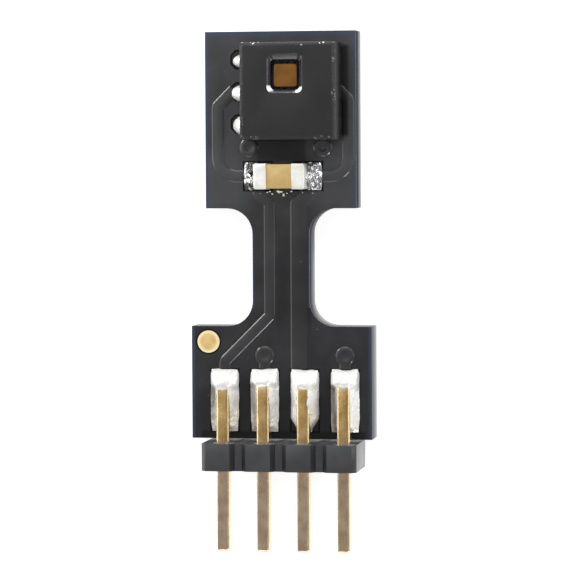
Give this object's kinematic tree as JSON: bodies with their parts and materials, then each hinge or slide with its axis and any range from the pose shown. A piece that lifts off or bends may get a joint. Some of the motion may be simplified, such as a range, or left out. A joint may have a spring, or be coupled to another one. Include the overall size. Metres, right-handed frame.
{
  "type": "temperature humidity sensor module",
  "caption": "Small plug-in sensor module: dog-bone circuit board with a square windowed sensor chip and a capacitor on its head, and a pin header along the edge of its base.",
  "frame": {"origin": "on the plane of the board's back face, which it rests on, below the middle of the whole part", "axes": "+Y along the board from the header pins to the head, +Z out of the front face, +X to the right seen from the front"},
  "size_m": [0.0058, 0.0162, 0.0023],
  "materials": {
    "board_laminate": "glass epoxy, black coated back, pale cut edges",
    "solder_mask": "satin black coating",
    "copper": "tinned copper",
    "gold_pad": "gold plated, satin",
    "epoxy": "matt moulded epoxy",
    "silicon": "polished dark silicon",
    "sensing_film": "orange-brown polymer film",
    "lead_metal": "tin plated",
    "solder": "bright solder",
    "capacitor_ceramic": "satin tan ceramic",
    "capacitor_plating": "tin plated, satin",
    "header_plastic": "satin black moulded plastic",
    "pin_gold": "gold plated"
  },
  "bodies": {
    "root": {"circuit_board": "board_laminate", "solder_mask_front": "solder_mask", "copper_ground": "copper", "copper_supply": "copper", "copper_data": "copper", "copper_clock": "copper", "sensor_spare_pad_left": "copper", "sensor_spare_pad_right": "copper", "sensor_centre_pad": "copper", "pin_one_marker": "gold_pad", "sensor_body": "epoxy", "sensor_die": "silicon", "sensing_film": "sensing_film", "sensor_paddle": "lead_metal", "sensor_lead_1": "lead_metal", "sensor_lead_2": "lead_metal", "sensor_lead_3": "lead_metal", "sensor_lead_4": "lead_metal", "sensor_lead_5": "lead_metal", "sensor_lead_6": "lead_metal", "sensor_solder_1": "solder", "sensor_solder_2": "solder", "sensor_solder_3": "solder", "sensor_solder_4": "solder", "sensor_solder_5": "solder", "sensor_solder_6": "solder", "sensor_centre_solder": "solder", "capacitor_left_solder": "solder", "capacitor_right_solder": "solder", "header_solder_1": "solder", "header_solder_2": "solder", "header_solder_3": "solder", "header_solder_4": "solder", "capacitor_body": "capacitor_ceramic", "capacitor_left_terminal": "capacitor_plating", "capacitor_right_terminal": "capacitor_plating", "header_body": "header_plastic", "header_pin_1": "pin_gold", "header_pin_2": "pin_gold", "header_pin_3": "pin_gold", "header_pin_4": "pin_gold"}
  },
  "joints": []
}
